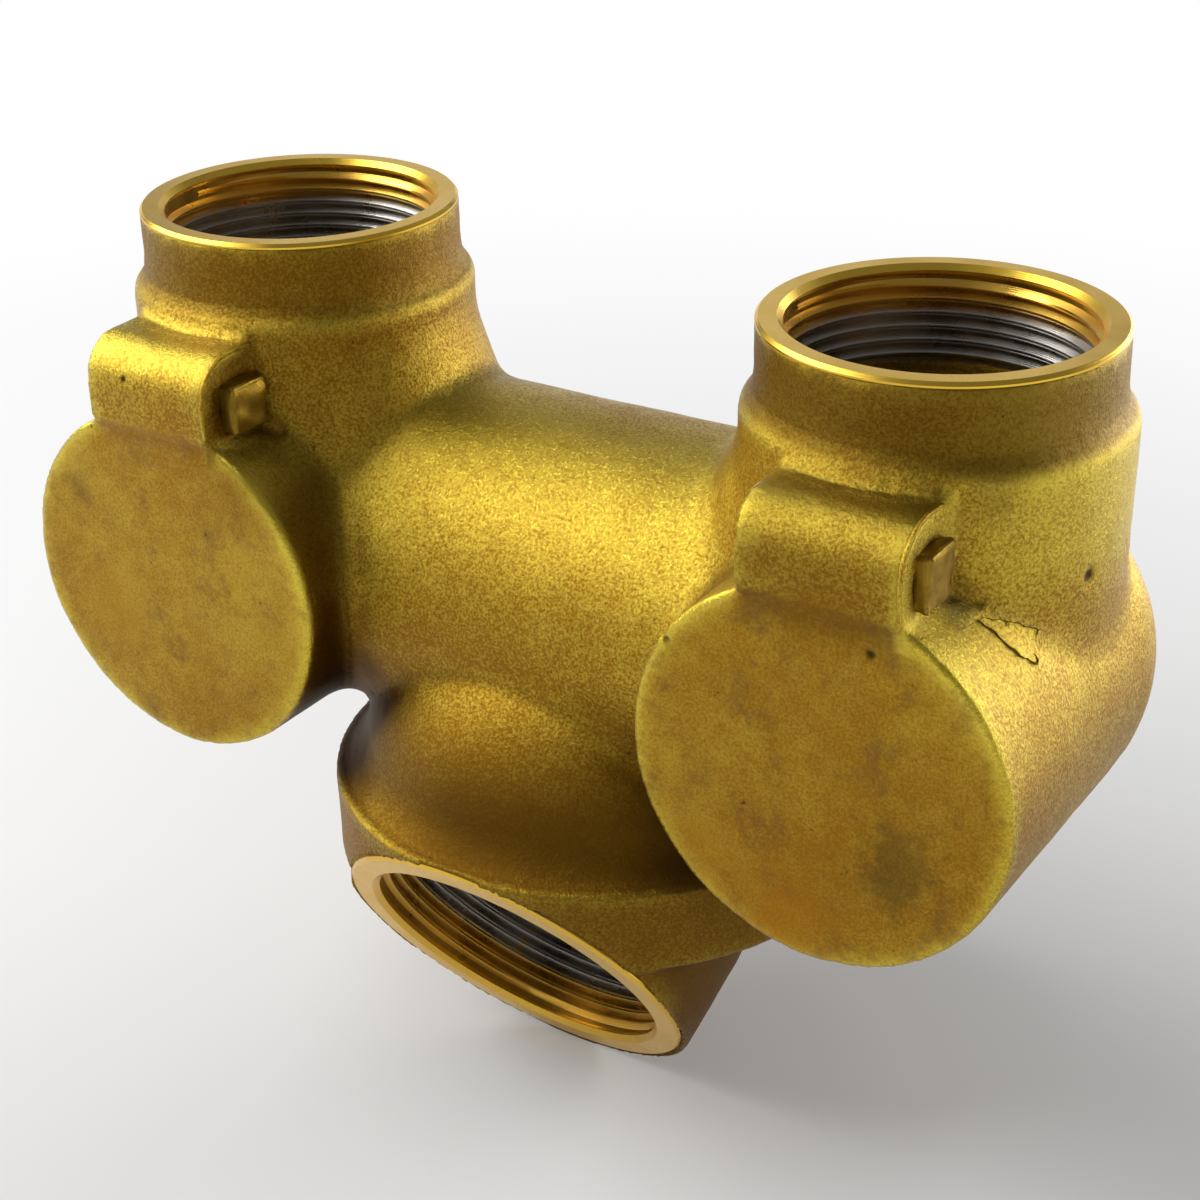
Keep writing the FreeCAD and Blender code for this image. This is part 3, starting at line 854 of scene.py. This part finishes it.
def helix(bm, points, facets, turns, pitch, root):
    """Thread ridge: a closed profile swept down a right-handed helix that runs out into the wall."""
    verts = [bm.verts.new((r, 0.0, z)) for r, z in points]
    edges = [bm.edges.new((verts[i - 1], verts[i])) for i in range(len(verts))]
    before = set(bm.verts) - set(verts)
    steps = int(facets * turns)
    bmesh.ops.spin(
        bm, geom=verts + edges, cent=(0, 0, 0), axis=(0, 0, 1), dvec=(0, 0, -pitch * turns / steps),
        angle=-math.tau * turns, steps=steps)
    open_edges = [e for e in bm.edges if e.is_boundary]
    bmesh.ops.holes_fill(bm, edges=open_edges, sides=len(points))
    middle = sum(z for _, z in points) / len(points)
    for vert in bm.verts:
        radius = math.hypot(vert.co.x, vert.co.y)
        if vert not in before and radius < root:
            turn = (middle - vert.co.z) / pitch
            rise = min(max(min(turn, turns - turn) / 0.3 + 0.1, 0.0), 1.0)
            grown = (root - (root - radius) * rise) / radius
            vert.co.x *= grown
            vert.co.y *= grown


def mouth_mesh(name, settings):
    """Turned face, chamfer and threaded bore of one mouth."""
    crest, face, length = mouth_sizes(name, settings)
    root = crest + settings.thread_h
    shell = root + settings.wall
    low = -settings.face_depth
    proud = 0.00005
    undercut, undercut_top = 0.0011, -0.0013
    lip = settings.chamfer * 0.85
    lip_step = 0.0003
    sunk = 0.0002
    half = settings.pitch / 2
    flank = half * 0.72
    bm = bmesh.new()
    spun(bm, [
        (face - undercut, low), (face, undercut_top), (face, -settings.edge), (face - settings.edge, proud),
        (crest + settings.chamfer, proud),
        (crest + settings.chamfer - lip, -lip), (crest + settings.chamfer - lip, -lip - lip_step),
        (root, -lip - lip_step - flank), (root, -length), (shell, -length), (shell, low)], settings.facets)
    top = -lip - flank - half
    turns = (length + top - half) / settings.pitch
    land = half - flank
    helix(bm, [
        (root + sunk, top + land * 0.5 + flank), (crest, top + land * 0.5), (crest, top - land * 0.5),
        (root + sunk, top - land * 0.5 - flank)], settings.facets, turns, settings.pitch, root)
    bmesh.ops.remove_doubles(bm, verts=bm.verts, dist=1e-7)
    bmesh.ops.recalc_face_normals(bm, faces=bm.faces)
    depth = bm.verts.layers.float.new("depth")
    ring = bm.verts.layers.float.new("ring")
    least = 0.10 if name == "outlet" else 0.0
    for vert in bm.verts:
        vert[depth] = max(-vert.co.z / length, least)
        vert[ring] = math.hypot(vert.co.x, vert.co.y)
    bm.transform(mouth_frame(name))
    mesh = bpy.data.meshes.new(name + "_mouth")
    bm.to_mesh(mesh)
    bm.free()
    mesh.shade_smooth()
    mesh.set_sharp_from_angle(angle=math.radians(28))
    return mesh


class SIAMESE_OT_mouths(bpy.types.Operator):
    """Builds the turned faces and threads of both inlets and the outlet."""
    bl_idname = "siamese.mouths"
    bl_label = "Machined mouths"

    def execute(self, context):
        settings = context.scene.siamese_mouths
        material = turned_brass_material(settings)
        for name in MOUTHS:
            obj = linked(name + "_mouth", mouth_mesh(name, settings))
            dress(obj, material, "casting", "cast_brass")
        return {"FINISHED"}


class SIAMESE_OT_plugs(bpy.types.Operator):
    """Builds the worn square heads of the two pin plugs."""
    bl_idname = "siamese.plugs"
    bl_label = "Pin plugs"

    def execute(self, context):
        settings = context.scene.siamese_pieces
        material = plain_metal_material("plug_brass", settings.plug_brass, roughness=0.46, grain=1500.0)
        dents_per_m, nicks_per_m = 260.0, 620.0
        for side in ("left", "right"):
            node = side + "_pin_plug"
            low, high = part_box(node)
            if side == "right":
                high.x -= settings.plug_ground
            middle = (low + high) / 2
            bm = bmesh.new()
            bmesh.ops.create_cube(bm, size=1.0)
            bm.transform(Matrix.Translation(middle) @ Matrix.Diagonal((*(high - low), 1.0)))
            edges = [e for e in bm.edges if max(v.co.x for v in e.verts) > middle.x]
            bmesh.ops.bevel(
                bm, geom=edges, offset=settings.plug_bevel, affect="EDGES", segments=4, profile=0.5,
                material=-1)
            bmesh.ops.subdivide_edges(bm, edges=bm.edges, cuts=5, use_grid_fill=True)
            bm.normal_update()
            for vert in bm.verts:
                dent = noise.noise(vert.co * dents_per_m) + 0.5 * noise.noise(vert.co * nicks_per_m)
                vert.co -= vert.normal * settings.plug_dents * (0.6 + dent)
            mesh = bpy.data.meshes.new(side + "_plug")
            bm.to_mesh(mesh)
            bm.free()
            mesh.shade_smooth()
            mesh.set_sharp_from_angle(angle=math.radians(40))
            obj = linked(side + "_plug", mesh)
            dress(obj, material, "casting", "plug_brass", node)
        return {"FINISHED"}


class SIAMESE_OT_clappers(bpy.types.Operator):
    """Gives the clappers, facings, washers, nuts and pins their finishes."""
    bl_idname = "siamese.clappers"
    bl_label = "Clappers"

    def execute(self, context):
        settings = context.scene.siamese_pieces
        brass = plain_metal_material("clapper_brass", settings.clapper_brass, roughness=0.36, grain=1200.0)
        rubber = rubber_material(settings)
        steel = plain_metal_material("pin_steel", settings.steel, roughness=0.28, grain=3000.0)
        finishes = {
            "clapper": brass, "facing_washer": brass, "facing_nut": brass,
            "clapper_facing": rubber, "hinge_pin": steel}
        for side in ("left", "right"):
            for piece, material in finishes.items():
                mesh = frame["nodes"][f"{side}_{piece}"].data
                mesh.materials.clear()
                mesh.materials.append(material)
        return {"FINISHED"}


def soft_box(name, place, target, size, power):
    """Large soft lamp that faces a target."""
    lamp = bpy.data.lights.new(name, "AREA")
    lamp.shape = "RECTANGLE"
    lamp.size, lamp.size_y = size
    lamp.energy = power
    obj = linked(name, lamp)
    obj.location = place
    obj.rotation_euler = (Vector(target) - Vector(place)).to_track_quat("-Z", "Y").to_euler()


def around(azimuth, elevation, distance):
    """Place seen from the object: azimuth 0 is in front, 90 to the right."""
    a, e = math.radians(azimuth), math.radians(elevation)
    flat = distance * math.cos(e)
    return Vector((math.sin(a) * flat, BELL_Y - math.cos(a) * flat, MIDDLE_Z + distance * math.sin(e)))


class SIAMESE_OT_stage(bpy.types.Operator):
    """Sets the floor, the soft lights and the camera."""
    bl_idname = "siamese.stage"
    bl_label = "Stage"

    def execute(self, context):
        settings = context.scene.siamese_stage
        scene = context.scene
        floor_sides, rim_widening, floor_gap = 64, 2.0, 0.0002
        bm = bmesh.new()
        bmesh.ops.create_circle(bm, cap_ends=True, segments=floor_sides, radius=settings.floor_radius)
        rim = bmesh.ops.extrude_edge_only(bm, edges=[e for e in bm.edges if e.is_boundary])["geom"]
        for vert in rim:
            if isinstance(vert, bmesh.types.BMVert):
                vert.co = vert.co * rim_widening + Vector((0.0, 0.0, settings.floor_rise))
        bm.transform(Matrix.Translation((0, 0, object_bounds()[0].z - floor_gap)))
        mesh = bpy.data.meshes.new("floor")
        bm.to_mesh(mesh)
        bm.free()
        floor = linked("floor", mesh)
        mesh.materials.append(floor_material(settings))
        floor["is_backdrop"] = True
        middle = (0.0, BELL_Y, MIDDLE_Z)
        soft_box("key_light", around(-66, 40, 1.1), middle, (0.9, 0.7), settings.key)
        soft_box("rim_light", around(148, 10, 1.2), middle, (1.1, 0.5), settings.rim)
        soft_box("back_light", around(-150, 28, 1.2), middle, (0.8, 0.6), settings.back)
        world = bpy.data.worlds.new("studio")
        world.use_nodes = True
        world.node_tree.nodes["Background"].inputs["Color"].default_value = (1.0, 1.0, 1.0, 1.0)
        world.node_tree.nodes["Background"].inputs["Strength"].default_value = settings.fill
        scene.world = world
        camera = bpy.data.cameras.new("camera")
        camera.lens = settings.lens
        camera.sensor_width = 36.0
        camera.clip_start = 0.01
        eye = linked("camera", camera)
        right = Vector(settings.right)
        back = -Vector(settings.forward)
        up = back.cross(right)
        turn = Matrix((right, up, back)).transposed()
        eye.matrix_world = Matrix.Translation(settings.eye) @ turn.to_4x4()
        scene.camera = eye
        scene.view_settings.view_transform = "Standard"
        return {"FINISHED"}


class SIAMESE_PT_looks(bpy.types.Panel):
    """Sidebar panel that lists the build steps."""
    bl_label = "Siamese inlet looks"
    bl_idname = "SIAMESE_PT_looks"
    bl_space_type = "VIEW_3D"
    bl_region_type = "UI"
    bl_category = "Siamese"

    def draw(self, context):
        for step in STEPS:
            self.layout.operator(step.bl_idname)


STEPS = (
    SIAMESE_OT_cast_body, SIAMESE_OT_cast_flaws, SIAMESE_OT_mouths, SIAMESE_OT_plugs, SIAMESE_OT_clappers,
    SIAMESE_OT_stage)
GROUPS = {
    "siamese_casting": SIAMESE_PG_casting,
    "siamese_mouths": SIAMESE_PG_mouths,
    "siamese_pieces": SIAMESE_PG_pieces,
    "siamese_stage": SIAMESE_PG_stage,
}


def register():
    for name, group in GROUPS.items():
        bpy.utils.register_class(group)
        setattr(bpy.types.Scene, name, PointerProperty(type=group))
    for step in STEPS:
        bpy.utils.register_class(step)
    bpy.utils.register_class(SIAMESE_PT_looks)


def unregister():
    bpy.utils.unregister_class(SIAMESE_PT_looks)
    for step in reversed(STEPS):
        bpy.utils.unregister_class(step)
    for name, group in GROUPS.items():
        delattr(bpy.types.Scene, name)
        bpy.utils.unregister_class(group)


def main():
    register()
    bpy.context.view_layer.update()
    bpy.ops.siamese.cast_body()
    bpy.ops.siamese.cast_flaws()
    bpy.ops.siamese.mouths()
    bpy.ops.siamese.plugs()
    bpy.ops.siamese.clappers()
    bpy.ops.siamese.stage()


if __name__ == "__main__":
    main()
